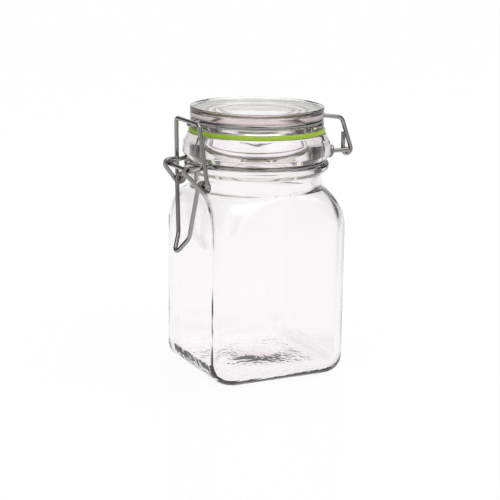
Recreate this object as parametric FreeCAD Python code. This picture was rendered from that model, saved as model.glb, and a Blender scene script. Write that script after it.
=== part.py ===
import FreeCAD, Part
import math
import os

# A square glass jar with a round glass lid and a bent-wire clip closure.
# Millimetres, +Z up. The origin is on the jar's axis, at the underside of its base.
# The clamp is on the -X side and the lid's hinge on the +X side.

# Jar body
body_side = 66.0
body_corner_radius = 11.0
body_height = 69.0
base_rounding = 8.0
wall = 2.8
inner_corner_radius = 8.6
floor_thickness = 6.0
floor_rounding = 5.0

# Shoulder, from the square body to the round neck
shoulder_height = 16.4
shoulder_inset = 2.65
shoulder_sweep = 71.0
shoulder_sections = 6

# Jar neck, from the shoulder up: bead, wire groove, collar and rim
neck_wall = 3.55
neck_height = 7.4
bead_projection = 2.85
bead_height = 4.3
bead_slope_height = 1.8
groove_depth = 0.45
collar_projection = 3.75
collar_height = 12.6
collar_underside_rise = 2.4
rim_projection = 1.05
mouth_step = 1.8
mouth_depth = 5.0
mouth_taper_height = 9.0

# Gasket
gasket_thickness = 2.0
gasket_overhang = 0.55
gasket_rounding = 0.5

# Lid
lid_inset = 0.85
lid_height = 9.55
lid_groove_depth = 2.15
lid_groove_rise = 3.75
lid_rim_height = 2.1
lid_notch_depth = 0.4
lid_notch_height = 0.7
dish_depth = 1.6
dish_rim_width = 1.3
dish_wall_run = 0.9
plug_clearance = 1.6
plug_depth = 4.3
plug_taper = 0.8
plug_width = 2.8
lid_hollow_run = 2.3
lid_hollow_height = 7.4
dome_rise = 2.4
dome_crown_radius = 7.5

# Wire, and the gaps that it is fitted with
wire_diameter = 2.0
groove_gap = 0.1
pivot_gap = 0.1
side_gap = 0.3
seat_gap = 0.05
latch_gap = 0.12
ring_bend = 2.5
wire_bend = 2.0

# Pivot bar of the neck wire, at the clamp
pivot_standoff = 7.7
pivot_drop = 1.8
pivot_half_width = 12.8

# Lever
crank_inward = 6.5
crank_drop = 7.4
crank_splay = 3.8
hook_tail = 4.9
lever_length = 38.7
lever_kink_drop = 31.5
lever_kink_half_width = 5.9
lever_kink_standoff = 3.2
lever_tip_standoff = 7.2
lever_kink_bend = 6.0
lever_tip_bend = 2.6

# Bail, and the nose of the lid wire that its bar bears on
nose_length = 3.9
nose_drop = 1.4
nose_half_width = 2.4
nose_bend = 1.5
bar_lean = 34.0
bail_bar_half_width = 12.3
bail_bend = 2.5
foot_end = 0.7

# Hinge bar of the neck wire, and the lid wire's arm
hinge_standoff = 16.7
hinge_rise = 1.2
hinge_bar_end = 0.8
wrap_standoff = 6.0
arm_elbow_inward = 3.3
arm_elbow_drop = 2.0
arm_elbow_bend = 3.5
hook_end_rise = 8.3

# Levels and radii that follow from the sizes above
wire_radius = wire_diameter / 2
groove_round = wire_radius + groove_gap
eye_radius = wire_diameter + pivot_gap
eye_bend = 0.97 * eye_radius

neck_z = body_height + shoulder_height
bead_z = neck_z + neck_height
groove_z = bead_z + bead_height + groove_round
rim_z = groove_z + collar_height
lid_z = rim_z + seat_gap + gasket_thickness
lid_groove_z = lid_z + lid_groove_rise
lid_top = lid_z + lid_height

neck_radius = body_side / 2 - shoulder_inset
neck_bore_radius = neck_radius - neck_wall
mouth_radius = neck_bore_radius - mouth_step
bead_radius = neck_radius + bead_projection
groove_radius = neck_radius - groove_depth
collar_radius = neck_radius + collar_projection
rim_radius = neck_radius + rim_projection
lid_radius = rim_radius - lid_inset
lid_groove_radius = lid_radius - lid_groove_depth
plug_radius = mouth_radius - plug_clearance
gasket_radius = lid_radius + gasket_overhang
gasket_bore_radius = plug_radius + groove_gap

neck_ring_radius = groove_radius + groove_round
lid_ring_radius = lid_groove_radius + groove_round

# Pivots of the closure, as points in the plane of the clamp and the hinge
pivot_x = -(neck_ring_radius + pivot_standoff)
pivot_z = groove_z - pivot_drop
eye_x = pivot_x + crank_inward
eye_z = pivot_z - crank_drop
nose_x = -(lid_ring_radius + nose_length)
nose_z = lid_groove_z - nose_drop
bar_reach = wire_diameter + latch_gap
bar_x = nose_x - bar_reach * math.sin(math.radians(bar_lean))
bar_z = nose_z + bar_reach * math.cos(math.radians(bar_lean))
hinge_x = neck_ring_radius + hinge_standoff
hinge_z = groove_z + hinge_rise

# Side positions of the closure's wires, each beside the next one in
side_step = wire_diameter + side_gap
hook_y = pivot_half_width - side_step
crank_y = hook_y + crank_splay
leg_y = crank_y - side_step
bail_y = crank_y + side_step
foot_y = leg_y - wire_radius - foot_end
hinge_bar_y = -side_step


def vector(x, y, z):
    return FreeCAD.Vector(x, y, z)


def add_line(edges, start, end):
    """Add a straight edge, unless the two points fall together."""
    if start.distanceToPoint(end) > 1e-6:
        edges.append(Part.LineSegment(start, end).toShape())


def bent_edges(corners, start=None, end=None):
    """Straight runs joined by tangent arcs, from corners given as (point, bend radius)."""
    edges = []
    points = [point for point, bend in corners]
    here = points[0]
    for i in range(1, len(corners) - 1):
        corner, bend = corners[i]
        back = (points[i - 1] - corner).normalize()
        ahead = (points[i + 1] - corner).normalize()
        half_angle = back.getAngle(ahead) / 2
        if bend == 0 or math.pi / 2 - half_angle < 1e-6:
            add_line(edges, here, corner)
            here = corner
            continue
        setback = bend / math.tan(half_angle)
        bisector = (back + ahead).normalize()
        middle = corner + bisector * (bend / math.sin(half_angle) - bend)
        arc_start = corner + back * setback
        arc_end = corner + ahead * setback
        add_line(edges, here, arc_start)
        edges.append(Part.Arc(arc_start, middle, arc_end).toShape())
        here = arc_end
    add_line(edges, here, points[-1])
    return edges


def turned(profile):
    """A solid of revolution about Z, from a closed outline of (radius, height, rounding)."""
    corners = [(vector(r, 0, z), rounding) for r, z, rounding in profile]
    corners.append(corners[0])
    outline = Part.Wire(bent_edges(corners))
    return Part.Face(outline).revolve(vector(0, 0, 0), vector(0, 0, 1), 360)


def drawn_wire(edges):
    """A round wire whose centre line is a chain of edges."""
    path = Part.Wire(edges)
    first = edges[0]
    start = first.valueAt(first.FirstParameter)
    heading = first.tangentAt(first.FirstParameter)
    section = Part.Wire(Part.Circle(start, heading, wire_radius).toShape())
    return path.makePipeShell([section], True, False)


def ring_point(radius, angle, z):
    return vector(radius * math.cos(angle), radius * math.sin(angle), z)


def ring_arc(radius, start, end, z):
    """Part of a wire ring, between two angles in radians."""
    middle = (start + end) / 2
    points = [ring_point(radius, angle, z) for angle in (start, middle, end)]
    return Part.Arc(*points).toShape()


def turnout(radius, bend, side_y, facing, z):
    """Where a wire leaves its ring to run along X at side_y: the ring's angle and three points of the bend."""
    side = math.copysign(1, side_y)
    centre_y = side_y + side * bend
    centre_x = facing * math.sqrt((radius + bend) ** 2 - centre_y**2)
    centre = vector(centre_x, centre_y, z)
    on_ring = vector(centre_x, centre_y, 0) * (radius / (radius + bend)) + vector(0, 0, z)
    on_line = vector(centre_x, side_y, z)
    to_middle = ((on_ring - centre) + (on_line - centre)).normalize()
    angle = math.atan2(on_ring.y, on_ring.x)
    return angle, on_ring, centre + to_middle * bend, on_line


def rounded_square(half_side, corner, z):
    """A square outline with round corners, at one height."""
    flat = half_side - corner
    diagonal = flat + corner * math.sqrt(0.5)
    edges = []
    for turn in range(4):
        angle = turn * 90
        points = [
            vector(half_side, -flat, z),
            vector(half_side, flat, z),
            vector(diagonal, diagonal, z),
            vector(flat, half_side, z),
        ]
        spin = FreeCAD.Rotation(vector(0, 0, 1), angle)
        points = [spin.multVec(point) for point in points]
        edges.append(Part.LineSegment(points[0], points[1]).toShape())
        edges.append(Part.Arc(points[1], points[2], points[3]).toShape())
    return Part.Wire(edges)


def square_block(half_side, corner, low, high, rounding):
    """An upright block with round corners and a rounded lower edge."""
    block = Part.Face(rounded_square(half_side, corner, low)).extrude(vector(0, 0, high - low))
    lower_edges = [edge for edge in block.Edges if edge.BoundBox.ZMax < low + 1e-6]
    return block.makeFillet(rounding, lower_edges)


def shoulder_loft(half_side, corner, top_radius):
    """The shoulder: round-cornered squares that close in to a circle along an arc."""
    sweep = math.radians(shoulder_sweep)
    reach = (half_side - corner) * math.sqrt(2) + corner
    outlines = []
    for step in range(shoulder_sections):
        angle = sweep * step / (shoulder_sections - 1)
        closing = (1 - math.cos(angle)) / (1 - math.cos(sweep))
        half = half_side + (top_radius - half_side) * closing
        diagonal = reach + (top_radius - reach) * closing
        rounding = (half * math.sqrt(2) - diagonal) / (math.sqrt(2) - 1)
        z = body_height + shoulder_height * math.sin(angle) / math.sin(sweep)
        outlines.append(rounded_square(half, min(rounding, 0.985 * half), z))
    return Part.makeLoft(outlines, True, False)


def make_glass_jar():
    half = body_side / 2
    body = square_block(half, body_corner_radius, 0, body_height, base_rounding)
    shoulder = shoulder_loft(half, body_corner_radius, neck_radius)
    collar_low = groove_z + groove_round
    collar_widest = collar_low + collar_underside_rise
    neck = turned(
        [
            (0, neck_z - shoulder_height / 4, 0),
            (neck_bore_radius, neck_z - shoulder_height / 4, 0),
            (neck_radius, neck_z - wire_radius, 0),
            (neck_radius, bead_z, 0.8),
            (bead_radius, bead_z + bead_slope_height, 1.0),
            (bead_radius, bead_z + bead_height, 0.9),
            (groove_radius, bead_z + bead_height, groove_round),
            (groove_radius, collar_low, groove_round),
            (neck_radius + 0.6 * collar_projection, collar_low, 0.6),
            (collar_radius, collar_widest, 1.2),
            (rim_radius + 0.9 * (collar_radius - rim_radius), collar_widest + 0.3 * collar_height, 8.0),
            (rim_radius, rim_z, 1.0),
            (0, rim_z, 0),
        ]
    )
    inner_half = half - wall
    room = square_block(inner_half, inner_corner_radius, floor_thickness, body_height, floor_rounding)
    room_top = shoulder_loft(inner_half, inner_corner_radius, neck_bore_radius)
    bore = turned(
        [
            (0, neck_z - wall, 0),
            (neck_bore_radius - wire_radius, neck_z - wall, 0),
            (neck_bore_radius, neck_z, 0),
            (neck_bore_radius, rim_z - mouth_depth - mouth_taper_height, 8.0),
            (mouth_radius, rim_z - mouth_depth, 8.0),
            (mouth_radius, rim_z - 0.8, 0.8),
            (mouth_radius + 0.8, rim_z, 0),
            (mouth_radius + 0.8, rim_z + 1, 0),
            (0, rim_z + 1, 0),
        ]
    )
    outside = body.fuse([shoulder, neck])
    inside = room.fuse([room_top, bore])
    return outside.cut(inside).removeSplitter()


def make_gasket():
    low = lid_z - gasket_thickness
    return turned(
        [
            (gasket_bore_radius, low, 0),
            (gasket_radius, low, gasket_rounding),
            (gasket_radius, lid_z, gasket_rounding),
            (gasket_bore_radius, lid_z, 0),
        ]
    )


def make_glass_lid():
    dish_z = lid_top - dish_depth
    dish_radius = lid_radius - dish_rim_width
    notch_z = lid_top - lid_rim_height
    plug_low = lid_z - plug_depth
    plug_inner = plug_radius - plug_taper - plug_width
    ceiling = plug_low + lid_hollow_height
    dome_radius = plug_inner - lid_hollow_run
    dome_slope = math.atan2(dome_rise, dome_radius - dome_crown_radius)
    dome_bend = 0.95 * dome_crown_radius / math.tan(dome_slope / 2)
    return turned(
        [
            (0, dish_z, 0),
            (dish_radius - dish_wall_run, dish_z, 1.0),
            (dish_radius, lid_top, 0.4),
            (lid_radius, lid_top, 0.6),
            (lid_radius, notch_z + lid_notch_height / 2, 0),
            (lid_radius - lid_notch_depth, notch_z, 0),
            (lid_radius, notch_z - lid_notch_height / 2, 0),
            (lid_radius, lid_groove_z + groove_round, 0.5),
            (lid_groove_radius, lid_groove_z + groove_round, groove_round),
            (lid_groove_radius, lid_groove_z - groove_round, groove_round),
            (lid_radius, lid_groove_z - groove_round, 0.6),
            (lid_radius, lid_z, 0.4),
            (plug_radius, lid_z, 0),
            (plug_radius - plug_taper, plug_low, 1.0),
            (plug_inner, plug_low, 0.9),
            (dome_radius, ceiling - dome_rise, 3.0),
            (dome_crown_radius, ceiling, dome_bend),
            (0, ceiling, 0),
        ]
    )


def make_lid_wire():
    # The ring, closed at the clamp by a nose that slopes down and out
    rounds = [turnout(lid_ring_radius, nose_bend, side * nose_half_width, -1, lid_groove_z) for side in (1, -1)]
    far_angle, far_ring, far_middle, far_line = rounds[0]
    near_angle, near_ring, near_middle, near_line = rounds[1]
    dip_x = far_line.x - wire_radius / 2
    nose = bent_edges(
        [
            (far_line, 0),
            (vector(dip_x, nose_half_width, lid_groove_z), nose_bend),
            (vector(nose_x, nose_half_width, nose_z), nose_bend),
            (vector(nose_x, -nose_half_width, nose_z), nose_bend),
            (vector(dip_x, -nose_half_width, lid_groove_z), nose_bend),
            (near_line, 0),
        ]
    )
    ring = [ring_arc(lid_ring_radius, 0, far_angle, lid_groove_z)]
    ring.append(Part.Arc(far_ring, far_middle, far_line).toShape())
    ring.extend(nose)
    ring.append(Part.Arc(near_line, near_middle, near_ring).toShape())
    ring.append(ring_arc(lid_ring_radius, near_angle, 0, lid_groove_z))

    # The arm at the back, which ends in a hook round the hinge bar
    elbow_x = hinge_x - arm_elbow_inward
    elbow_z = lid_groove_z - arm_elbow_drop
    fall = math.atan2(elbow_z - hinge_z, arm_elbow_inward)
    fall -= math.asin(eye_radius / math.hypot(elbow_z - hinge_z, arm_elbow_inward))
    hook_low = hinge_z - eye_radius
    turn_x = elbow_x + (elbow_z - hook_low) / math.tan(fall)
    arm = bent_edges(
        [
            (vector(lid_ring_radius, 0, lid_groove_z), 0),
            (vector(elbow_x, 0, elbow_z), arm_elbow_bend),
            (vector(turn_x, 0, hook_low), eye_bend),
            (vector(hinge_x - eye_radius, 0, hook_low), eye_bend),
            (vector(hinge_x - eye_radius, 0, hinge_z + hook_end_rise), 0),
        ]
    )
    return drawn_wire(ring).fuse(drawn_wire(arm)).removeSplitter()


def make_neck_wire():
    # The hinge bar, which runs in to the ring on the -Y side
    hinge_angle, hinge_ring, hinge_middle, hinge_line = turnout(
        neck_ring_radius, ring_bend, hinge_bar_y, 1, groove_z
    )
    rise_x = hinge_line.x + wire_radius / 2
    edges = bent_edges(
        [
            (vector(hinge_x, side_step - wire_radius + hinge_bar_end, hinge_z), 0),
            (vector(hinge_x, hinge_bar_y, hinge_z), wire_radius),
            (vector(rise_x + wire_bend, hinge_bar_y, hinge_z), wire_bend),
            (vector(rise_x, hinge_bar_y, groove_z), wire_bend),
            (hinge_line, 0),
        ]
    )
    edges.append(Part.Arc(hinge_line, hinge_middle, hinge_ring).toShape())

    # Round the neck to the clamp, out to the pivot bar and back
    rounds = [turnout(neck_ring_radius, ring_bend, side * pivot_half_width, -1, groove_z) for side in (-1, 1)]
    near_angle, near_ring, near_middle, near_line = rounds[0]
    far_angle, far_ring, far_middle, far_line = rounds[1]
    edges.append(ring_arc(neck_ring_radius, hinge_angle, near_angle, groove_z))
    edges.append(Part.Arc(near_ring, near_middle, near_line).toShape())
    dip_x = near_line.x - wire_radius / 2
    edges.extend(
        bent_edges(
            [
                (near_line, 0),
                (vector(dip_x, -pivot_half_width, groove_z), wire_bend),
                (vector(pivot_x, -pivot_half_width, pivot_z), wire_radius),
                (vector(pivot_x, pivot_half_width, pivot_z), wire_radius),
                (vector(dip_x, pivot_half_width, groove_z), wire_bend),
                (far_line, 0),
            ]
        )
    )
    edges.append(Part.Arc(far_line, far_middle, far_ring).toShape())

    # Round the other side, to end in one turn about the hinge bar
    tail_angle = math.radians(20)
    edges.append(ring_arc(neck_ring_radius, far_angle, tail_angle, groove_z))
    tail = ring_point(neck_ring_radius, tail_angle, groove_z)
    heading = vector(math.sin(tail_angle), -math.cos(tail_angle), 0)
    wrap_x = neck_ring_radius + wrap_standoff
    wrap_step = side_step / 4
    inner_y = hinge_bar_y + eye_radius
    outer_y = hinge_bar_y - eye_radius
    edges.extend(
        bent_edges(
            [
                (tail, 0),
                (tail + heading * (2 * wire_diameter), 2 * wire_bend),
                (vector(wrap_x - wrap_step, inner_y + wire_radius, hinge_z - eye_radius), wire_bend),
                (vector(wrap_x, outer_y, hinge_z - eye_radius), eye_bend),
                (vector(wrap_x + wrap_step, outer_y, hinge_z + eye_radius), eye_bend),
                (vector(wrap_x + 2 * wrap_step, inner_y, hinge_z + eye_radius), eye_bend),
                (vector(wrap_x + 3 * wrap_step, inner_y, hinge_z - wire_radius / 2), 0),
            ]
        )
    )
    return drawn_wire(edges)


def lever_side(side):
    """Corners of half the lever, from the end of its hook to the kink above its finger loop."""
    crank_length = math.hypot(crank_inward, crank_drop)
    along_x = crank_inward / crank_length
    along_z = -crank_drop / crank_length
    beside_x = pivot_x + along_z * eye_radius
    beside_z = pivot_z - along_x * eye_radius
    hook_x = pivot_x - eye_radius
    hook_z = beside_z + (hook_x - beside_x) * along_z / along_x
    coil_low = eye_z - eye_radius
    coil_high = eye_z + eye_radius
    coil_x = beside_x + (coil_low - beside_z) * along_x / along_z
    coil_step = side_step / 3
    kink_x = -(body_side / 2 + lever_kink_standoff)
    kink_z = pivot_z - lever_kink_drop
    route = [
        (pivot_x + hook_tail, hook_y, pivot_z + eye_radius, 0),
        (hook_x, hook_y, pivot_z + eye_radius, eye_bend),
        (hook_x, hook_y, hook_z, eye_bend),
        (coil_x, crank_y, coil_low, eye_bend),
        (eye_x + eye_radius, crank_y - coil_step, coil_low, eye_bend),
        (eye_x + eye_radius, crank_y - 2 * coil_step, coil_high, eye_bend),
        (eye_x - eye_radius, leg_y, coil_high, eye_bend),
        (kink_x, lever_kink_half_width, kink_z, lever_kink_bend),
    ]
    return [(vector(x, side * y, z), bend) for x, y, z, bend in route]


def make_lever():
    tip = vector(-(body_side / 2 + lever_tip_standoff), 0, pivot_z - lever_length)
    kink = lever_side(1)[-1][0]
    middle = vector(kink.x, 0, kink.z)
    half_angle = math.atan2(lever_kink_half_width, middle.distanceToPoint(tip))
    # The two legs would meet past the tip, by what the tip's bend cuts off
    corner = tip + (tip - middle).normalize() * (lever_tip_bend / math.sin(half_angle) - lever_tip_bend)
    corners = lever_side(1) + [(corner, lever_tip_bend)] + lever_side(-1)[::-1]
    return drawn_wire(bent_edges(corners))


def make_bail():
    corners = [
        (vector(eye_x, foot_y, eye_z), 0),
        (vector(eye_x, bail_y, eye_z), wire_bend),
        (vector(bar_x, bail_bar_half_width, bar_z), bail_bend),
        (vector(bar_x, -bail_bar_half_width, bar_z), bail_bend),
        (vector(eye_x, -bail_y, eye_z), wire_bend),
        (vector(eye_x, -foot_y, eye_z), 0),
    ]
    return drawn_wire(bent_edges(corners))


pieces = {
    "glass_jar": make_glass_jar(),
    "glass_lid": make_glass_lid(),
    "gasket": make_gasket(),
    "lid_wire": make_lid_wire(),
    "neck_wire": make_neck_wire(),
    "lever": make_lever(),
    "bail": make_bail(),
}

os.makedirs("parts", exist_ok=True)
for name, shape in pieces.items():
    shape.exportStep(f"parts/{name}.step")
    print(name, len(shape.Solids), "solid", shape.isValid(), f"{shape.Volume:.1f} mm3")
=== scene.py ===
import math

import bmesh
import bpy
from mathutils import Matrix, Vector


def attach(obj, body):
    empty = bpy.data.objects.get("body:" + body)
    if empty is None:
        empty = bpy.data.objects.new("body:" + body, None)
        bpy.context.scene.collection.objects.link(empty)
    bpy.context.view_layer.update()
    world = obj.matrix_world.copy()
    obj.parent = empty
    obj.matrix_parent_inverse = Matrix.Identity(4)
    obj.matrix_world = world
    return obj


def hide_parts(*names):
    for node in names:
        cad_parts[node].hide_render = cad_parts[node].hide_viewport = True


# A square clip-top glass jar: clear pressed glass, a lime silicone seal and bright bent wire.
# Sizes are in millimetres here, and become metres where a mesh is made.

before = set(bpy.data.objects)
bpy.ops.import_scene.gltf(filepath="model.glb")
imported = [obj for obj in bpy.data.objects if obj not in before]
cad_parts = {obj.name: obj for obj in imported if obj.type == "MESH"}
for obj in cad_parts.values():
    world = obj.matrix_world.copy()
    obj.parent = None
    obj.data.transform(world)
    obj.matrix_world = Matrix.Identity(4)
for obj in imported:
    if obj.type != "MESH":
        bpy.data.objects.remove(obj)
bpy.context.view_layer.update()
MM = 0.001

# Sizes of the jar: the outside as in the part's source, the floor and the mouth as the glass bends light
body_half = 33.0
body_corner = 11.0
body_height = 69.0
base_rounding = 8.0
wall = 2.8
inner_corner = 8.3
base_hollow = 2.0
base_hollow_radius = 24.0
floor_thickness = 3.5
floor_rounding = 6.0
floor_dome = 2.0
shoulder_height = 16.4
shoulder_sweep = math.radians(71.0)
neck_z = body_height + shoulder_height
neck_radius = 30.35
bore_radius = 26.8
mouth_radius = 25.0
mouth_depth = 6.0
mouth_taper_depth = 12.0
bead_foot_z = 92.8
bead_z = 94.6
bead_radius = 33.2
groove_z = 98.2
groove_round = 1.1
groove_floor_radius = 29.9
collar_foot_radius = 32.6
collar_radius = 34.1
collar_rise = 2.4
collar_top_radius = 33.83
collar_top_rise = 6.18
rim_edge_radius = 31.4
rim_z = 110.8
rim_slope = 0.3
rim_middle_radius = 28.5

# Sizes of the lid and the seal
lid_z = 112.85
lid_radius = 30.55
lid_groove_z = 116.6
lid_groove_floor_radius = 28.4
lid_top = 122.4
dish_radius = 28.35
dish_depth = 0.8
dish_rim_radius = 29.25
notch_drop = 2.1
notch_half_height = 0.35
notch_depth = 0.4
seal_face_slope = 0.3
plug_depth = 4.3
plug_root_radius = 23.4
plug_radius = 22.6
plug_inner_radius = 19.8
hollow_radius = 17.5
hollow_flat_radius = 7.5
hollow_depth = 7.4
hollow_edge_depth = 7.0
seal_radius = 31.1
seal_bore_radius = 23.5
seal_middle_radius = 26.0
seal_thickness = 2.0
seal_gap = 0.02

# Sizes of all the wires; a place is (x, z)
wire_radius = 1.0
wire_sides = 28
end_chamfer = 0.22
eye_radius = 2.1
eye_bend = 2.037
side_step = 2.3
lead_out = 0.5
pivot = (-38.7, 96.4)
eye = (-32.2, 89.0)
hinge = (47.7, 99.4)

# Sizes of the lid's wire: its ring, the nose at the clamp and the hinge's arm and hook
lid_ring_radius = 29.5
nose = (-33.4, 115.2)
nose_half = 2.4
nose_bend = 1.5
elbow_run = 3.3
elbow_drop = 2.0
elbow_bend = 3.5
hook_rise = 8.3

# Sizes of the neck's wire: its ring, the two bars and the end that is wrapped round one of them
neck_ring_radius = 31.0
ring_bend = 2.5
step_run = 2.0
step_bend = 2.0
bar_corner_bend = 1.0
pivot_half = 12.8
hinge_bar_end = 2.1
tail_angle = math.radians(20)
tail_run = 4.0
tail_bend = 4.0
wrap_run = 6.0
wrap_lead = 1.0
wrap_end_drop = 0.5

# Sizes of the lever: half of it, from its hook past the eye to the loop
lever_hook_run = 4.9
lever_hook_y = 10.5
lever_crank_y = 14.3
lever_leg_y = 12.0
lever_kink = (-36.2, 64.9)
lever_kink_bend = 6.0
lever_tip = (-40.2, 57.7)
loop_half = 5.9
loop_bend = 2.6

# Sizes of the bail: half of it, from its foot in the eye to the bar at its top
bail_half = 16.6
bail_foot_end = 10.3
bail_foot_bend = 2.0
bail_top = (-34.585, 116.958)
bail_top_half = 12.3
bail_top_bend = 2.5


def link(obj):
    bpy.context.scene.collection.objects.link(obj)
    return obj


def mesh_piece(name, verts, faces, material):
    """A smooth closed piece, from points in millimetres."""
    mesh = bpy.data.meshes.new(name)
    mesh.from_pydata([Vector(v) * MM for v in verts], [], faces)
    mesh.materials.append(material)
    solid = bmesh.new()
    solid.from_mesh(mesh)
    bmesh.ops.recalc_face_normals(solid, faces=solid.faces)
    solid.to_mesh(mesh)
    solid.free()
    mesh.shade_smooth()
    return link(bpy.data.objects.new(name, mesh))


# Outlines and centre lines


def bent_line(corners, step=math.radians(7)):
    """Points along straight runs joined by tangent arcs; a corner is (x, y, z, bend radius)."""
    points = [Vector(c[:3]) for c in corners]
    line = [points[0]]
    for before, here, after, corner in zip(points, points[1:], points[2:], corners[1:]):
        back = (before - here).normalized()
        ahead = (after - here).normalized()
        half_angle = back.angle(ahead) / 2
        turn = math.pi - 2 * half_angle
        bend = corner[3]
        if bend == 0 or turn < 1e-4:
            line.append(here)
            continue
        centre = here + (back + ahead).normalized() * (bend / math.sin(half_angle))
        start = here + back * (bend / math.tan(half_angle)) - centre
        axis = back.cross(ahead)
        count = max(2, math.ceil(turn / step))
        for i in range(count + 1):
            line.append(centre + Matrix.Rotation(-turn * i / count, 3, axis) @ start)
    line.append(points[-1])
    return line


def bent_outline(corners, step=math.radians(12), longest=3.0):
    """The same for a turned outline of (radius, height, rounding), with long runs divided."""
    line = bent_line([(r, 0, z, bend) for r, z, bend in corners], step)
    outline = [(line[0].x, line[0].z)]
    for a, b in zip(line, line[1:]):
        run = (b - a).length
        if run < 1e-5:
            continue
        count = max(1, math.ceil(run / longest))
        for i in range(1, count + 1):
            p = a.lerp(b, i / count)
            outline.append((p.x, p.z))
    return outline


def arc(radius, start, end, z, step=math.radians(3)):
    """Points on part of a wire ring."""
    count = math.ceil(abs(end - start) / step)
    angles = [start + (end - start) * i / count for i in range(count + 1)]
    return [Vector((radius * math.cos(a), radius * math.sin(a), z)) for a in angles]


def turnout(radius, bend, side_y, facing, z):
    """The bend where a wire leaves its ring to run along X: the ring's angle and the bend's points."""
    side = math.copysign(1, side_y)
    centre = Vector((0, side_y + side * bend, z))
    centre.x = facing * math.sqrt((radius + bend) ** 2 - centre.y**2)
    ring_angle = math.atan2(centre.y, centre.x)
    from_ring = Vector((-math.cos(ring_angle), -math.sin(ring_angle), 0)) * bend
    to_line = Vector((0, -side, 0)) * bend
    turn = from_ring.angle(to_line)
    axis = from_ring.cross(to_line)
    steps = 12
    points = [centre + Matrix.Rotation(turn * i / steps, 3, axis) @ from_ring for i in range(steps + 1)]
    return ring_angle, points


# Glass forms


def square_reach(half, corner, angle):
    """How far a round-cornered square reaches from its middle, in one direction."""
    across, along = sorted((abs(math.cos(angle)), abs(math.sin(angle))))
    flat = half - corner
    if across * half <= along * flat:
        return half / along
    return flat * (across + along) + math.sqrt(corner**2 - flat**2 * (along - across) ** 2)


def shoulder_rows(half, corner, top_radius, count=22):
    """Rows (height, half side, corner radius) of the shoulder, from the square up to the circle."""
    reach = (half - corner) * math.sqrt(2) + corner
    rows = []
    for i in range(count + 1):
        angle = shoulder_sweep * i / count
        closing = (1 - math.cos(angle)) / (1 - math.cos(shoulder_sweep))
        side = half + (top_radius - half) * closing
        diagonal = reach + (top_radius - reach) * closing
        rounding = (side * math.sqrt(2) - diagonal) / (math.sqrt(2) - 1)
        z = body_height + shoulder_height * math.sin(angle) / math.sin(shoulder_sweep)
        rows.append((z, side, min(rounding, side)))
    return rows


def block_rows(half, corner, low, rounding, steps=9):
    """Rows of a block's lower end: a flat face with round edges, and straight sides above."""
    rows = []
    flat_steps = 24
    for i in range(1, flat_steps):
        share = i / flat_steps
        rows.append((low, (half - rounding) * share, (corner - rounding) * share))
    for i in range(steps + 1):
        a = math.pi / 2 * i / steps
        inset = rounding * (1 - math.sin(a))
        rows.append((low + rounding * (1 - math.cos(a)), half - inset, corner - inset))
    row_gap = 3.5
    clear_of_shoulder = 5.0
    z = low + rounding
    while z < body_height - clear_of_shoulder:
        z += row_gap
        rows.append((z, half, corner))
    return rows


def round_rows(outline):
    return [(z, r, r) for r, z in outline]


def softened(rows, passes):
    """Rows with the crease between the shoulder and the neck rounded off."""
    for _ in range(passes):
        middle = []
        for a, b, c in zip(rows, rows[1:], rows[2:]):
            middle.append(tuple((a[i] + 2 * b[i] + c[i]) / 4 for i in range(3)))
        rows = [rows[0]] + middle + [rows[-1]]
    return rows


def eased(value, start, end):
    """How far a value has come from a start to an end, held between 0 and 1."""
    return min(1, max(0, (value - start) / (end - start)))


def uneven(z, angle):
    """How far the blown inner wall stands off its true place; the floor and the neck are true."""
    wave = math.sin(4 * angle + 0.11 * z + 0.6) + 0.7 * math.sin(7 * angle - 0.17 * z)
    wave += 0.6 * math.sin(0.29 * z + 2 * angle + 1.9)
    from_neck = eased(z, 92, 80)
    from_floor = eased(z, 8, 16)
    return from_neck * from_floor * (0.035 * wave)


def base_lift(x, y):
    """How far the round hollow under the jar lifts its underside."""
    return base_hollow * max(0, 1 - (math.hypot(x, y) / base_hollow_radius) ** 2)


def floor_swell(x, y):
    """How far the pressed floor of the jar stands above its edge."""
    dome = floor_dome * max(0, 1 - (math.hypot(x, y) / base_hollow_radius) ** 2)
    wave = math.sin(0.13 * x + 0.06 * y + 0.4) + math.sin(0.15 * y - 0.05 * x + 1.1)
    return dome * (1 + 0.35 * wave)


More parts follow.
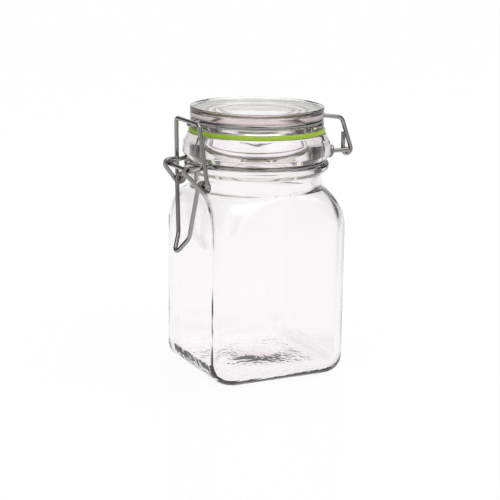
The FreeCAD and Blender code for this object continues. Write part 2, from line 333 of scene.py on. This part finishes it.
def make_glass_jar(material):
    groove_low = groove_z - groove_round
    collar_low = groove_z + groove_round
    outer = block_rows(body_half, body_corner, 0, base_rounding)
    outer_top = shoulder_rows(body_half, body_corner, neck_radius)
    neck_start = [(neck_radius, neck_z), (neck_radius, neck_z + 0.8), (neck_radius, neck_z + 1.6)]
    outer_top = softened(outer_top + round_rows(neck_start), 3)
    neck = bent_outline(
        [
            (neck_radius, neck_z + 2.4, 0),
            (neck_radius, bead_foot_z, 0.8),
            (bead_radius, bead_z, 1.0),
            (bead_radius, groove_low, 0.9),
            (groove_floor_radius, groove_low, groove_round),
            (groove_floor_radius, collar_low, groove_round),
            (collar_foot_radius, collar_low, 0.6),
            (collar_radius, collar_low + collar_rise, 1.2),
            (collar_top_radius, collar_low + collar_top_rise, 8.0),
            (rim_edge_radius, rim_z, 1.0),
            (rim_middle_radius, rim_z - 0.1, 0),
        ]
    )
    mouth = bent_outline(
        [
            (rim_middle_radius - 0.5, rim_z - 0.12, 0),
            (mouth_radius, rim_z - rim_slope, 1.4),
            (mouth_radius, rim_z - mouth_depth, 4.0),
            (bore_radius, rim_z - mouth_taper_depth, 4.0),
            (bore_radius, neck_z + 2.0, 0),
        ]
    )
    inner_half = body_half - wall
    bore_end = round_rows([(bore_radius, neck_z + 1.4), (bore_radius, neck_z + 0.7)])
    inner_top = softened(bore_end + shoulder_rows(inner_half, inner_corner, bore_radius)[::-1], 5)
    inner = block_rows(inner_half, inner_corner, floor_thickness, floor_rounding)[::-1]
    outside = outer + outer_top + round_rows(neck)
    rows = outside + round_rows(mouth) + inner_top + inner

    around = 320
    verts = [(0, 0, base_lift(0, 0))]
    for index, (z, half, corner) in enumerate(rows):
        inside = index >= len(outside) + len(mouth)
        for k in range(around):
            angle = 2 * math.pi * (k + 0.5) / around
            reach = square_reach(half, corner, angle)
            if inside:
                reach += uneven(z, angle)
            x = reach * math.cos(angle)
            y = reach * math.sin(angle)
            if z <= 0:
                verts.append((x, y, base_lift(x, y)))
            elif inside and z <= floor_thickness:
                verts.append((x, y, z + floor_swell(x, y)))
            else:
                verts.append((x, y, z))
    verts.append((0, 0, floor_thickness + floor_swell(0, 0)))
    last = len(verts) - 1
    faces = []
    for k in range(around):
        after = (k + 1) % around
        faces.append((0, 1 + after, 1 + k))
        for row in range(len(rows) - 1):
            a = 1 + row * around
            b = a + around
            faces.append((a + k, a + after, b + after, b + k))
        a = 1 + (len(rows) - 1) * around
        faces.append((a + k, a + after, last))
    return mesh_piece("clear_jar", verts, faces, material)


def turned_piece(name, outline, material, around=288):
    """A turned piece from an outline of (radius, height); an end on the axis becomes one point."""
    verts = []
    rings = []
    for r, z in outline:
        if r < 1e-6:
            rings.append([len(verts)])
            verts.append((0, 0, z))
            continue
        rings.append(list(range(len(verts), len(verts) + around)))
        for k in range(around):
            angle = 2 * math.pi * k / around
            verts.append((r * math.cos(angle), r * math.sin(angle), z))
    faces = []
    for low, high in zip(rings, rings[1:] + rings[:1]):
        if len(low) == 1 and len(high) == 1:
            continue
        for k in range(around):
            after = (k + 1) % around
            if len(low) == 1:
                faces.append((low[0], high[after], high[k]))
            elif len(high) == 1:
                faces.append((low[k], low[after], high[0]))
            else:
                faces.append((low[k], low[after], high[after], high[k]))
    return mesh_piece(name, verts, faces, material)


def make_glass_lid(material):
    notch_z = lid_top - notch_drop
    groove_low = lid_groove_z - groove_round
    groove_high = lid_groove_z + groove_round
    dish_z = lid_top - dish_depth
    plug_low = lid_z - plug_depth
    hollow_top = plug_low + hollow_depth
    outline = bent_outline(
        [
            (0, dish_z, 0),
            (dish_radius, dish_z, 1.0),
            (dish_rim_radius, lid_top, 0.4),
            (lid_radius, lid_top, 0.6),
            (lid_radius, notch_z + notch_half_height, 0.2),
            (lid_radius - notch_depth, notch_z, 0.1),
            (lid_radius, notch_z - notch_half_height, 0.2),
            (lid_radius, groove_high, 0.5),
            (lid_groove_floor_radius, groove_high, groove_round),
            (lid_groove_floor_radius, groove_low, groove_round),
            (lid_radius, groove_low, 0.6),
            (lid_radius, lid_z, 0.4),
            (plug_root_radius, lid_z + seal_face_slope, 0.25),
            (plug_radius, plug_low, 1.0),
            (plug_inner_radius, plug_low, 0.9),
            (hollow_radius, plug_low + hollow_edge_depth, 3.0),
            (hollow_flat_radius, hollow_top, 0),
            (0, hollow_top, 0),
        ]
    )
    return turned_piece("clear_lid", outline, material)


def make_seal(material):
    low = lid_z - seal_thickness
    top = lid_z - seal_gap
    outline = bent_outline(
        [
            (seal_middle_radius, low, 0),
            (seal_radius, low, 0.5),
            (seal_radius, top, 0.5),
            (seal_bore_radius, top, 0.1),
            (seal_bore_radius, low, 0.1),
            (seal_middle_radius, low, 0),
        ]
    )
    return turned_piece("lime_seal", outline[:-1], material)


# Bent wire


def wire_tree():
    """Geometry nodes that draw a round wire along a chain of edges."""
    tree = bpy.data.node_groups.new("round_wire_along_path", "GeometryNodeTree")
    face = tree.interface
    face.new_socket("Path", in_out="INPUT", socket_type="NodeSocketGeometry")
    face.new_socket("Wire Radius", in_out="INPUT", socket_type="NodeSocketFloat")
    face.new_socket("Sides", in_out="INPUT", socket_type="NodeSocketInt")
    face.new_socket("Finish", in_out="INPUT", socket_type="NodeSocketMaterial")
    face.new_socket("Wire", in_out="OUTPUT", socket_type="NodeSocketGeometry")
    nodes = tree.nodes
    given = nodes.new("NodeGroupInput")
    result = nodes.new("NodeGroupOutput")
    to_curve = nodes.new("GeometryNodeMeshToCurve")
    section = nodes.new("GeometryNodeCurvePrimitiveCircle")
    drawn = nodes.new("GeometryNodeCurveToMesh")
    drawn.inputs["Fill Caps"].default_value = True
    smooth = nodes.new("GeometryNodeSetShadeSmooth")
    real = nodes.new("GeometryNodeRealizeInstances")
    finish = nodes.new("GeometryNodeSetMaterial")
    join = tree.links.new
    join(given.outputs["Path"], to_curve.inputs["Mesh"])
    join(given.outputs["Wire Radius"], section.inputs["Radius"])
    join(given.outputs["Sides"], section.inputs["Resolution"])
    join(to_curve.outputs["Curve"], drawn.inputs["Curve"])
    join(section.outputs["Curve"], drawn.inputs["Profile Curve"])
    join(drawn.outputs["Mesh"], smooth.inputs["Geometry"])
    join(smooth.outputs["Geometry"], real.inputs["Geometry"])
    join(real.outputs["Geometry"], finish.inputs["Geometry"])
    join(given.outputs["Finish"], finish.inputs["Material"])
    join(finish.outputs["Geometry"], result.inputs["Wire"])
    return tree


def make_wire(name, tree, lines, material):
    """One piece of bent wire; lines are (points in millimetres, whether the line closes)."""
    verts, edges = [], []
    for points, closed in lines:
        kept = [points[0]]
        for p in points[1:]:
            if (p - kept[-1]).length > 1e-4:
                kept.append(p)
        if closed and (kept[0] - kept[-1]).length < 1e-4:
            kept.pop()
        first = len(verts)
        verts.extend(p * MM for p in kept)
        edges.extend((first + i, first + i + 1) for i in range(len(kept) - 1))
        if closed:
            edges.append((first + len(kept) - 1, first))
    path = bpy.data.meshes.new(name + "_path")
    path.from_pydata(verts, edges, [])
    holder = link(bpy.data.objects.new(name + "_path", path))
    modifier = holder.modifiers.new("round_wire", "NODES")
    modifier.node_group = tree
    values = {"Wire Radius": wire_radius * MM, "Sides": wire_sides, "Finish": material}
    for socket in tree.interface.items_tree:
        if socket.name in values and socket.in_out == "INPUT":
            modifier[socket.identifier] = values[socket.name]
    graph = bpy.context.evaluated_depsgraph_get()
    mesh = bpy.data.meshes.new_from_object(holder.evaluated_get(graph))
    bpy.data.objects.remove(holder)
    solid = bmesh.new()
    solid.from_mesh(mesh)
    # The sawn ends have a small chamfer
    caps = [f for f in solid.faces if len(f.verts) > 4]
    cap_edges = list({e for f in caps for e in f.edges})
    chamfer = end_chamfer * MM
    bmesh.ops.bevel(solid, geom=cap_edges, offset=chamfer, segments=2, affect="EDGES", profile=0.6)
    bmesh.ops.recalc_face_normals(solid, faces=solid.faces)
    solid.to_mesh(mesh)
    solid.free()
    mesh.shade_smooth()
    mesh.set_sharp_from_angle(angle=math.radians(50))
    return link(bpy.data.objects.new(name, mesh))


def lid_wire_lines():
    far_angle, far_bend = turnout(lid_ring_radius, nose_bend, nose_half, -1, lid_groove_z)
    near_angle, near_bend = turnout(lid_ring_radius, nose_bend, -nose_half, -1, lid_groove_z)
    dip = far_bend[-1].x - lead_out
    tip = bent_line(
        [
            (*far_bend[-1], 0),
            (dip, nose_half, lid_groove_z, nose_bend),
            (nose[0], nose_half, nose[1], nose_bend),
            (nose[0], -nose_half, nose[1], nose_bend),
            (dip, -nose_half, lid_groove_z, nose_bend),
            (*near_bend[-1], 0),
        ]
    )
    ring = arc(lid_ring_radius, 0, far_angle, lid_groove_z) + far_bend + tip + near_bend[::-1]
    ring += arc(lid_ring_radius, near_angle, 0, lid_groove_z)
    elbow = (hinge[0] - elbow_run, lid_groove_z - elbow_drop)
    drop = elbow[1] - hinge[1]
    fall = math.atan2(drop, elbow_run) - math.asin(eye_radius / math.hypot(drop, elbow_run))
    hook_low = hinge[1] - eye_radius
    arm = bent_line(
        [
            (lid_ring_radius, 0, lid_groove_z, 0),
            (elbow[0], 0, elbow[1], elbow_bend),
            (elbow[0] + (elbow[1] - hook_low) / math.tan(fall), 0, hook_low, eye_bend),
            (hinge[0] - eye_radius, 0, hook_low, eye_bend),
            (hinge[0] - eye_radius, 0, hinge[1] + hook_rise, 0),
        ]
    )
    return [(ring, True), (arm, False)]


def neck_wire_lines():
    bar_angle, bar_bend = turnout(neck_ring_radius, ring_bend, -side_step, 1, groove_z)
    near_angle, near_bend = turnout(neck_ring_radius, ring_bend, -pivot_half, -1, groove_z)
    far_angle, far_bend = turnout(neck_ring_radius, ring_bend, pivot_half, -1, groove_z)
    rise = bar_bend[-1].x + lead_out
    line = bent_line(
        [
            (hinge[0], hinge_bar_end, hinge[1], 0),
            (hinge[0], -side_step, hinge[1], bar_corner_bend),
            (rise + step_run, -side_step, hinge[1], step_bend),
            (rise, -side_step, groove_z, step_bend),
            (*bar_bend[-1], 0),
        ]
    )
    line += bar_bend[::-1] + arc(neck_ring_radius, bar_angle, near_angle, groove_z) + near_bend
    dip = near_bend[-1].x - lead_out
    line += bent_line(
        [
            (*near_bend[-1], 0),
            (dip, -pivot_half, groove_z, step_bend),
            (pivot[0], -pivot_half, pivot[1], bar_corner_bend),
            (pivot[0], pivot_half, pivot[1], bar_corner_bend),
            (dip, pivot_half, groove_z, step_bend),
            (*far_bend[-1], 0),
        ]
    )
    line += far_bend[::-1] + arc(neck_ring_radius, far_angle, tail_angle, groove_z)
    tail = line[-1]
    heading = Vector((math.sin(tail_angle), -math.cos(tail_angle), 0))
    wrap = neck_ring_radius + wrap_run
    step = side_step / 4
    inner_y = -side_step + eye_radius
    outer_y = -side_step - eye_radius
    low, high = hinge[1] - eye_radius, hinge[1] + eye_radius
    line += bent_line(
        [
            (*tail, 0),
            (*(tail + heading * tail_run), tail_bend),
            (wrap - step, inner_y + wrap_lead, low, step_bend),
            (wrap, outer_y, low, eye_bend),
            (wrap + step, outer_y, high, eye_bend),
            (wrap + 2 * step, inner_y, high, eye_bend),
            (wrap + 3 * step, inner_y, hinge[1] - wrap_end_drop, 0),
        ]
    )
    return [(line, False)]


def mirrored(side):
    """The other half of a wire, from its middle back to its far end."""
    return [(x, -y, z, bend) for x, y, z, bend in side[::-1]]


def lever_lines():
    # The crank runs beside the line from the pivot bar to the eye, at the radius that hook and eye share
    run = (eye[0] - pivot[0], eye[1] - pivot[1])
    length = math.hypot(*run)
    along = (run[0] / length, run[1] / length)
    beside = (pivot[0] + along[1] * eye_radius, pivot[1] - along[0] * eye_radius)
    hook_x = pivot[0] - eye_radius
    hook_top = pivot[1] + eye_radius
    hook_z = beside[1] + (hook_x - beside[0]) * along[1] / along[0]
    low, high = eye[1] - eye_radius, eye[1] + eye_radius
    coil_x = beside[0] + (low - beside[1]) * along[0] / along[1]
    step = side_step / 3
    # The loop's sides would meet past its tip, about as far as its round end falls short of that corner
    loop_run = math.dist(lever_kink, lever_tip)
    half_angle = math.atan2(loop_half, loop_run)
    past = loop_bend / math.sin(half_angle) - loop_bend
    end = [t + (t - k) / loop_run * past for t, k in zip(lever_tip, lever_kink)]
    side = [
        (pivot[0] + lever_hook_run, lever_hook_y, hook_top, 0),
        (hook_x, lever_hook_y, hook_top, eye_bend),
        (hook_x, lever_hook_y, hook_z, eye_bend),
        (coil_x, lever_crank_y, low, eye_bend),
        (eye[0] + eye_radius, lever_crank_y - step, low, eye_bend),
        (eye[0] + eye_radius, lever_crank_y - 2 * step, high, eye_bend),
        (eye[0] - eye_radius, lever_leg_y, high, eye_bend),
        (lever_kink[0], loop_half, lever_kink[1], lever_kink_bend),
    ]
    return [(bent_line(side + [(end[0], 0, end[1], loop_bend)] + mirrored(side)), False)]


def bail_lines():
    side = [
        (eye[0], bail_foot_end, eye[1], 0),
        (eye[0], bail_half, eye[1], bail_foot_bend),
        (bail_top[0], bail_top_half, bail_top[1], bail_top_bend),
    ]
    return [(bent_line(side + mirrored(side)), False)]


# Finishes


def unevenness_group():
    """Shared by the finishes: a slow ripple and a fine grain, for roughness, colour and bump."""
    group = bpy.data.node_groups.new("surface_unevenness", "ShaderNodeTree")
    face = group.interface
    for name, value in (("Ripple Scale", 60.0), ("Grain Scale", 900.0), ("Low", 0.1), ("High", 0.2)):
        socket = face.new_socket(name, in_out="INPUT", socket_type="NodeSocketFloat")
        socket.default_value = value
    for name in ("Roughness", "Ripple", "Grain"):
        face.new_socket(name, in_out="OUTPUT", socket_type="NodeSocketFloat")
    nodes = group.nodes
    join = group.links.new
    given = nodes.new("NodeGroupInput")
    result = nodes.new("NodeGroupOutput")
    place = nodes.new("ShaderNodeTexCoord")
    ripple = nodes.new("ShaderNodeTexNoise")
    ripple.inputs["Detail"].default_value = 2.0
    grain = nodes.new("ShaderNodeTexNoise")
    grain.inputs["Detail"].default_value = 4.0
    spread = nodes.new("ShaderNodeMapRange")
    join(place.outputs["Object"], ripple.inputs["Vector"])
    join(place.outputs["Object"], grain.inputs["Vector"])
    join(given.outputs["Ripple Scale"], ripple.inputs["Scale"])
    join(given.outputs["Grain Scale"], grain.inputs["Scale"])
    join(grain.outputs["Fac"], spread.inputs["Value"])
    join(given.outputs["Low"], spread.inputs["To Min"])
    join(given.outputs["High"], spread.inputs["To Max"])
    join(spread.outputs["Result"], result.inputs["Roughness"])
    join(ripple.outputs["Fac"], result.inputs["Ripple"])
    join(grain.outputs["Fac"], result.inputs["Grain"])
    return group


def finish_material(name, group, ripple_scale, grain_scale, low, high, bump, bump_from):
    """A Principled material with the shared unevenness in its roughness and normal."""
    material = bpy.data.materials.new(name)
    material.use_nodes = True
    nodes = material.node_tree.nodes
    join = material.node_tree.links.new
    shader = nodes["Principled BSDF"]
    rough = nodes.new("ShaderNodeGroup")
    rough.node_tree = group
    rough.inputs["Ripple Scale"].default_value = ripple_scale
    rough.inputs["Grain Scale"].default_value = grain_scale
    rough.inputs["Low"].default_value = low
    rough.inputs["High"].default_value = high
    relief = nodes.new("ShaderNodeBump")
    relief.inputs["Strength"].default_value = 1.0
    relief.inputs["Distance"].default_value = bump
    join(rough.outputs["Roughness"], shader.inputs["Roughness"])
    join(rough.outputs[bump_from], relief.inputs["Height"])
    join(relief.outputs["Normal"], shader.inputs["Normal"])
    return material, shader, rough


def clear_glass(name, group, ripple_scale, bump, low, high):
    """Clear glass with the faint warm tint that shows where it is looked through lengthways."""
    grain_scale = 700
    material, shader, _ = finish_material(name, group, ripple_scale, grain_scale, low, high, bump, "Ripple")
    shader.inputs["Base Color"].default_value = (1, 1, 1, 1)
    shader.inputs["IOR"].default_value = 1.51
    shader.inputs["Transmission Weight"].default_value = 1.0
    nodes = material.node_tree.nodes
    depth = nodes.new("ShaderNodeVolumeAbsorption")
    depth.inputs["Color"].default_value = (0.48, 0.13, 0.22, 1)
    depth.inputs["Density"].default_value = 9.0
    material.node_tree.links.new(depth.outputs["Volume"], nodes["Material Output"].inputs["Volume"])
    return material


def stippled_base(material, scale, depth, full_below, none_above):
    """Fine stippling pressed into the underside; its upper limits are in millimetres."""
    nodes = material.node_tree.nodes
    join = material.node_tree.links.new
    shader = nodes["Principled BSDF"]
    place = nodes.new("ShaderNodeTexCoord")
    dots = nodes.new("ShaderNodeTexVoronoi")
    dots.inputs["Scale"].default_value = scale
    height = nodes.new("ShaderNodeSeparateXYZ")
    extent = nodes.new("ShaderNodeMapRange")
    extent.inputs["From Min"].default_value = full_below * MM
    extent.inputs["From Max"].default_value = none_above * MM
    extent.inputs["To Min"].default_value = 1.0
    extent.inputs["To Max"].default_value = 0.0
    relief = nodes.new("ShaderNodeBump")
    relief.inputs["Distance"].default_value = depth
    join(place.outputs["Object"], dots.inputs["Vector"])
    join(place.outputs["Object"], height.inputs["Vector"])
    join(height.outputs["Z"], extent.inputs["Value"])
    join(dots.outputs["Distance"], relief.inputs["Height"])
    join(extent.outputs["Result"], relief.inputs["Strength"])
    join(shader.inputs["Normal"].links[0].from_socket, relief.inputs["Normal"])
    join(relief.outputs["Normal"], shader.inputs["Normal"])


def colour_spread(material, shader, rough, output, dark, light):
    """Base colour that drifts between two shades."""
    nodes = material.node_tree.nodes
    join = material.node_tree.links.new
    mix = nodes.new("ShaderNodeMix")
    mix.data_type = "RGBA"
    mix.inputs["A"].default_value = (*dark, 1)
    mix.inputs["B"].default_value = (*light, 1)
    join(rough.outputs[output], mix.inputs["Factor"])
    join(mix.outputs["Result"], shader.inputs["Base Color"])


def lime_silicone(group):
    material, shader, rough = finish_material(
        "lime_silicone",
        group,
        ripple_scale=90,
        grain_scale=1600,
        low=0.34,
        high=0.5,
        bump=0.00004,
        bump_from="Grain",
    )
    colour_spread(material, shader, rough, "Ripple", (0.40, 0.62, 0.025), (0.50, 0.73, 0.06))
    shader.inputs["Subsurface Weight"].default_value = 0.15
    shader.inputs["Subsurface Radius"].default_value = (0.4, 0.8, 0.1)
    shader.inputs["Subsurface Scale"].default_value = 0.001
    return material


def drawn_steel(group):
    material, shader, rough = finish_material(
        "drawn_steel",
        group,
        ripple_scale=140,
        grain_scale=2400,
        low=0.05,
        high=0.14,
        bump=0.00001,
        bump_from="Grain",
    )
    colour_spread(material, shader, rough, "Ripple", (0.27, 0.265, 0.26), (0.39, 0.38, 0.37))
    shader.inputs["Metallic"].default_value = 1.0
    return material


unevenness = unevenness_group()
jar_glass = clear_glass("jar_glass", unevenness, ripple_scale=45, bump=0.0003, low=0.0, high=0.012)
stippled_base(jar_glass, scale=400, depth=0.00015, full_below=1.5, none_above=2.5)
lid_glass = clear_glass("lid_glass", unevenness, ripple_scale=50, bump=0.0001, low=0.04, high=0.08)
silicone = lime_silicone(unevenness)
steel = drawn_steel(unevenness)

round_wire = wire_tree()
jar = make_glass_jar(jar_glass)
lid = make_glass_lid(lid_glass)
seal = make_seal(silicone)
lid_wire = make_wire("lid_wire_bent", round_wire, lid_wire_lines(), steel)
neck_wire = make_wire("neck_wire_bent", round_wire, neck_wire_lines(), steel)
lever = make_wire("lever_bent", round_wire, lever_lines(), steel)
bail = make_wire("bail_bent", round_wire, bail_lines(), steel)

for piece, body, node, slot in (
    (jar, "jar", "glass_jar", "jar_glass"),
    (neck_wire, "jar", "neck_wire", "wire"),
    (lid, "lid", "glass_lid", "lid_glass"),
    (seal, "lid", "gasket", "seal"),
    (lid_wire, "lid", "lid_wire", "wire"),
    (lever, "lever", "lever", "wire"),
    (bail, "bail", "bail", "wire"),
):
    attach(piece, body)
    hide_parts(node)


# Studio


view_yaw = math.radians(26.787)
ahead = Vector((math.sin(view_yaw), math.cos(view_yaw), 0))
across = Vector((math.cos(view_yaw), -math.sin(view_yaw), 0))


def studio_point(right, away, up):
    """A place in the studio, seen from the camera: to its right, away from it past the jar, and up."""
    return across * right + ahead * away + Vector((0, 0, up))


def studio_room(levels, ceiling_level):
    """A plain room with pale and dark walls; levels are (degrees right of straight ahead, level)."""
    world = bpy.data.worlds.new("studio_room")
    world.use_nodes = True
    nodes = world.node_tree.nodes
    join = world.node_tree.links.new
    direction = nodes.new("ShaderNodeTexCoord")
    bearing = nodes.new("ShaderNodeMath")
    bearing.operation = "ARCTAN2"
    for socket, axis in zip(bearing.inputs, (across, ahead)):
        along = nodes.new("ShaderNodeVectorMath")
        along.operation = "DOT_PRODUCT"
        along.inputs[1].default_value = axis
        join(direction.outputs["Generated"], along.inputs[0])
        join(along.outputs["Value"], socket)
    turn = nodes.new("ShaderNodeMapRange")
    turn.inputs["From Min"].default_value = -math.pi
    turn.inputs["From Max"].default_value = math.pi
    wall_tone = nodes.new("ShaderNodeValToRGB")
    wall_tone.color_ramp.interpolation = "EASE"
    stops = wall_tone.color_ramp.elements
    while len(stops) < len(levels):
        stops.new(0.5)
    for stop, (degrees, level) in zip(stops, levels):
        stop.position = (degrees + 180) / 360
        stop.color = (level, level, level, 1)
    join(bearing.outputs["Value"], turn.inputs["Value"])
    join(turn.outputs["Result"], wall_tone.inputs["Fac"])
    # Towards the ceiling the walls meet in one tone
    height = nodes.new("ShaderNodeSeparateXYZ")
    join(direction.outputs["Generated"], height.inputs["Vector"])
    ceiling = nodes.new("ShaderNodeMapRange")
    ceiling.interpolation_type = "SMOOTHSTEP"
    ceiling.inputs["From Min"].default_value = 0.55
    ceiling.inputs["From Max"].default_value = 0.9
    join(height.outputs["Z"], ceiling.inputs["Value"])
    tone = nodes.new("ShaderNodeMix")
    tone.data_type = "RGBA"
    tone.inputs["B"].default_value = (ceiling_level, ceiling_level, ceiling_level, 1)
    join(ceiling.outputs["Result"], tone.inputs["Factor"])
    join(wall_tone.outputs["Color"], tone.inputs["A"])
    join(tone.outputs["Result"], nodes["Background"].inputs["Color"])
    return world


def white_floor(half_width, widening, front, fade_run, side_tone, own_light):
    """A white strip under and behind the jar, which fades to a pale tone past its sides; sizes in metres."""
    material = bpy.data.materials.new("white_floor")
    material.use_nodes = True
    nodes = material.node_tree.nodes
    join = material.node_tree.links.new

    def worked_out(operation, *values):
        step = nodes.new("ShaderNodeMath")
        step.operation = operation
        for socket, value in zip(step.inputs, values):
            if isinstance(value, float):
                socket.default_value = value
            else:
                join(value, socket)
        return step.outputs["Value"]

    def measured(axis):
        along = nodes.new("ShaderNodeVectorMath")
        along.operation = "DOT_PRODUCT"
        along.inputs[1].default_value = axis
        join(place.outputs["Object"], along.inputs[0])
        return along.outputs["Value"]

    place = nodes.new("ShaderNodeTexCoord")
    beside = worked_out("ABSOLUTE", measured(across))
    away = measured(ahead)
    past_side = worked_out("SUBTRACT", beside, worked_out("MULTIPLY_ADD", away, widening, half_width))
    past_front = worked_out("SUBTRACT", -front, away)
    past = worked_out("MAXIMUM", past_side, past_front)
    fade = nodes.new("ShaderNodeMapRange")
    fade.interpolation_type = "SMOOTHSTEP"
    fade.inputs["From Min"].default_value = 0.0
    fade.inputs["From Max"].default_value = fade_run
    join(past, fade.inputs["Value"])
    tone = nodes.new("ShaderNodeMix")
    tone.data_type = "RGBA"
    tone.inputs["A"].default_value = (1, 1, 1, 1)
    tone.inputs["B"].default_value = (side_tone, side_tone, side_tone, 1)
    join(fade.outputs["Result"], tone.inputs["Factor"])

    sheet = nodes["Principled BSDF"]
    sheet.inputs["Roughness"].default_value = 0.08
    join(tone.outputs["Result"], sheet.inputs["Base Color"])
    white = nodes.new("ShaderNodeEmission")
    join(tone.outputs["Result"], white.inputs["Color"])
    path = nodes.new("ShaderNodeLightPath")
    seen = worked_out("MAXIMUM", path.outputs["Is Camera Ray"], path.outputs["Is Glossy Ray"])
    seen = worked_out("MAXIMUM", seen, path.outputs["Is Transmission Ray"])
    mix = nodes.new("ShaderNodeMixShader")
    join(worked_out("MULTIPLY", seen, own_light), mix.inputs["Fac"])
    join(sheet.outputs["BSDF"], mix.inputs[1])
    join(white.outputs["Emission"], mix.inputs[2])
    join(mix.outputs["Shader"], nodes["Material Output"].inputs["Surface"])
    return material


floor_mesh = bpy.data.meshes.new("studio_floor")
floor_z = -0.0001
floor_corners = [studio_point(right, away, floor_z) for right, away in ((-6, -6), (6, -6), (6, 8), (-6, 8))]
floor_mesh.from_pydata(floor_corners, [], [(0, 1, 2, 3)])
floor_mesh.materials.append(
    white_floor(half_width=0.118, widening=0.17, front=0.17, fade_run=0.3, side_tone=0.7, own_light=0.93)
)
studio_floor = link(bpy.data.objects.new("studio_floor", floor_mesh))


def soft_box(name, place, target, width, height, watts):
    light = bpy.data.lights.new(name, "AREA")
    light.shape = "RECTANGLE"
    light.size = width
    light.size_y = height
    light.energy = watts
    obj = link(bpy.data.objects.new(name, light))
    obj.location = place
    obj.rotation_euler = (target - place).to_track_quat("-Z", "Y").to_euler()


jar_middle = Vector((0, 0, 0.05))
soft_box("ceiling_light", studio_point(0.4, -0.2, 1.4), jar_middle, width=2.0, height=2.0, watts=15)

bpy.context.scene.world = studio_room(
    (
        (-180, 0.12),
        (-170, 0.12),
        (-158, 0.95),
        (-132, 0.9),
        (-108, 0.15),
        (-88, 0.08),
        (-40, 0.08),
        (-28, 0.25),
        (-17, 1.0),
        (17, 1.0),
        (27, 0.25),
        (42, 0.08),
        (88, 0.08),
        (108, 0.15),
        (132, 0.9),
        (158, 0.95),
        (170, 0.12),
        (180, 0.12),
    ),
    ceiling_level=0.55,
)

# Camera, at the photograph's viewing angle
camera_place = (-0.30725, -0.60344, 0.21557)
focal_pixels = 1499.85
picture_pixels = 500
tilt = math.radians(13.356)
roll = math.radians(0.803)
camera_data = bpy.data.cameras.new("camera")
camera = link(bpy.data.objects.new("camera", camera_data))
forward = ahead * math.cos(tilt) + Vector((0, 0, -math.sin(tilt)))
level_up = across.cross(forward)
right = across * math.cos(roll) + level_up * math.sin(roll)
up = level_up * math.cos(roll) - across * math.sin(roll)
aim = Matrix((right, up, -forward)).transposed()
camera.matrix_world = Matrix.Translation(camera_place) @ aim.to_4x4()
camera_data.sensor_width = 36
camera_data.lens = focal_pixels * camera_data.sensor_width / picture_pixels
camera_data.clip_start = 0.01
bpy.context.scene.camera = camera

bpy.context.scene.view_settings.view_transform = "Standard"
